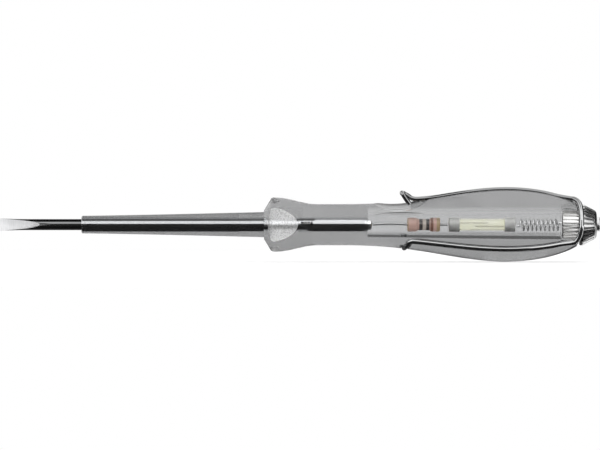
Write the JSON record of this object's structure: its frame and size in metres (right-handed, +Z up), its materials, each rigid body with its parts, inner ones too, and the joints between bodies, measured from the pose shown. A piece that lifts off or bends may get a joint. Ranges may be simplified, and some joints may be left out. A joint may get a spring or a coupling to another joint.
{
  "type": "voltage tester screwdriver",
  "caption": "Slotted screwdriver with a clear handle that holds a resistor, neon lamp and spring, a screwed knurled end cap with a touch button, and a wire pocket clip.",
  "frame": {"origin": "centre of the blade tip's end face", "axes": "+X along the tool from the tip to the touch button, +Z up and -Y towards the side that the picture shows"},
  "size_m": [0.15, 0.0186, 0.0187],
  "materials": {
    "chrome_blade": "polished chrome, ground bright at the tip",
    "grey_clear_plastic": "grey transparent, glossy",
    "clear_plastic": "clear, glossy, with three frosted facets on the collar",
    "nickelled_brass": "nickel plated",
    "plated_cap": "plated, straight knurl",
    "spring_steel": "drawn wire",
    "resistor_lacquer": "lacquer with coloured bands",
    "ceramic": "matt ceramic",
    "tinned_steel": "tinned",
    "lamp_glass": "clear glass",
    "electrode_nickel": "oxide coated nickel",
    "clip_wire": "bright chromed wire"
  },
  "bodies": {
    "tool": {"handle": "clear_plastic", "blade": "chrome_blade", "blade_sleeve": "grey_clear_plastic", "threaded_insert": "nickelled_brass", "resistor_coat": "resistor_lacquer", "resistor_core": "ceramic", "resistor_front_cap": "tinned_steel", "resistor_rear_cap": "tinned_steel", "resistor_front_lead": "tinned_steel", "resistor_rear_lead": "tinned_steel", "lamp_glass": "lamp_glass", "lamp_front_cap": "nickelled_brass", "lamp_rear_cap": "nickelled_brass", "lamp_front_electrode": "electrode_nickel", "lamp_rear_electrode": "electrode_nickel", "clip_frame": "clip_wire"},
    "spring": {"contact_spring": "spring_steel"},
    "cap": {"end_cap": "plated_cap", "contact_button": "plated_cap"},
    "clip": {"clip_arm": "clip_wire"}
  },
  "joints": [
    {"name": "cap_travel", "type": "slide", "parent": "tool", "child": "spring", "axis": [1, 0, 0], "range_m": [0, 0.0036], "deforming": ["contact_spring"]},
    {"name": "cap_turn", "type": "hinge", "parent": "spring", "child": "cap", "pos_m": [0.1448, 0, 0], "axis": [1, 0, 0], "range_deg": [0, 1620]},
    {"name": "clip_flex", "type": "hinge", "parent": "tool", "child": "clip", "pos_m": [0.1416, -0.00178, 0.00668], "axis": [0, 0.9659, 0.2588], "range_deg": [0, 3], "stiffness_Nm_per_rad": 0.5}
  ],
  "couplings": [
    {"joint": "cap_turn", "follows": "cap_travel", "rad_per_m": 7854}
  ]
}
